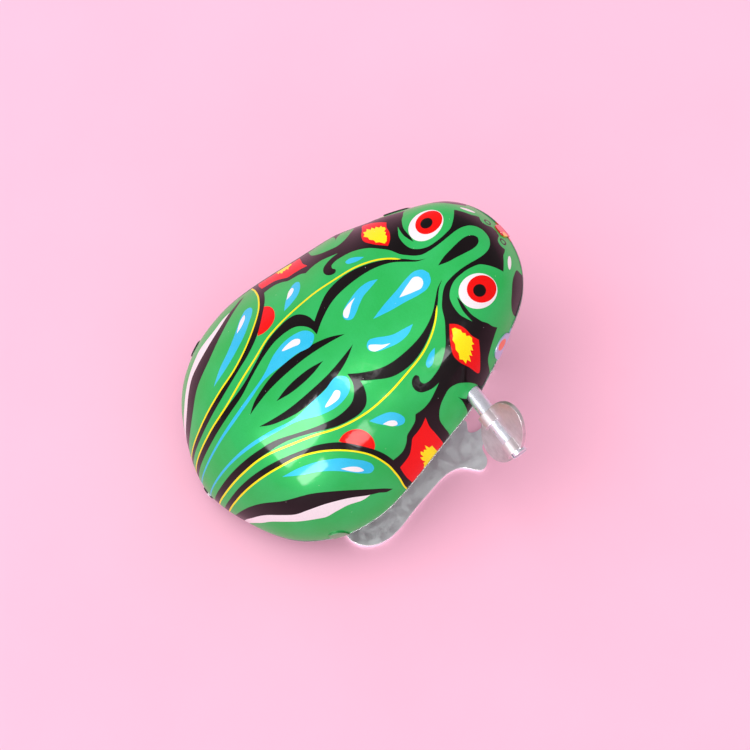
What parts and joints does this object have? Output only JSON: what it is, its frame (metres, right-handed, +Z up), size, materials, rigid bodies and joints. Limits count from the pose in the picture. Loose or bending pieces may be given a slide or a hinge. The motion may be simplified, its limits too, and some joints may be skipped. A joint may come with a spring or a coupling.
{
  "type": "wind-up hopping frog toy",
  "caption": "Tin wind-up frog: pressed back and tabbed base around a spring motor whose cam kicks the hinged hind-leg stamping; winding key on the right side.",
  "frame": {"origin": "on the ground in the symmetry plane, under the middle of the hind-leg web", "axes": "+X forwards to the nose, +Y to the frog's left, +Z up; the body sits pitched nose-up by 27 degrees"},
  "size_m": [0.0685, 0.0595, 0.046],
  "materials": {
    "printed_tin": "glossy lithographed lacquer on tinplate",
    "tinplate": "bare tinplate, satin, faintly mottled",
    "bright_steel": "bright plated steel",
    "brass": "stamped brass, satin",
    "spring_steel": "blued spring steel",
    "cut_steel": "turned steel"
  },
  "bodies": {
    "frame": {"upper_shell": "printed_tin", "base_plate": "printed_tin", "front_leg_left": "tinplate", "front_leg_right": "tinplate", "motor_plate_left": "tinplate", "motor_plate_right": "tinplate", "frame_pillars": "cut_steel", "plate_rivets": "bright_steel", "leg_rivets": "bright_steel", "leg_pivot_rod": "cut_steel", "leg_return_spring": "bright_steel", "mainspring": "spring_steel"},
    "spring_wheel": {"main_wheel": "brass", "click_spring": "spring_steel", "click_rivet": "bright_steel"},
    "key": {"winding_arbor": "bright_steel", "ratchet_wheel": "cut_steel", "key_blade": "bright_steel"},
    "middle_wheel": {"second_arbor": "cut_steel", "second_wheel": "brass"},
    "cam": {"third_arbor": "cut_steel", "kick_cam": "cut_steel"},
    "legs": {"hind_legs": "tinplate"}
  },
  "joints": [
    {"name": "spring_wheel_turn", "type": "hinge", "parent": "frame", "child": "spring_wheel", "pos_m": [0.02974, 0, 0.02821], "axis": [0, 1, 0], "continuous": true},
    {"name": "key_turn", "type": "hinge", "parent": "spring_wheel", "child": "key", "pos_m": [0.02974, 0, 0.02821], "axis": [0, 1, 0], "continuous": true},
    {"name": "middle_wheel_turn", "type": "hinge", "parent": "frame", "child": "middle_wheel", "pos_m": [0.01733, 0, 0.02669], "axis": [0, 1, 0], "continuous": true},
    {"name": "cam_turn", "type": "hinge", "parent": "frame", "child": "cam", "pos_m": [0.01189, 0, 0.0183], "axis": [0, 1, 0], "continuous": true},
    {"name": "leg_kick", "type": "hinge", "parent": "frame", "child": "legs", "pos_m": [-0.00564, 0, 0.00469], "axis": [0, 1, 0], "range_deg": [0, 12], "stiffness_Nm_per_rad": 0.002, "springref_deg": -17.19, "deforming": ["leg_return_spring"]}
  ],
  "couplings": [
    {"joint": "middle_wheel_turn", "follows": "spring_wheel_turn", "ratio": -4},
    {"joint": "cam_turn", "follows": "spring_wheel_turn", "ratio": 12}
  ]
}
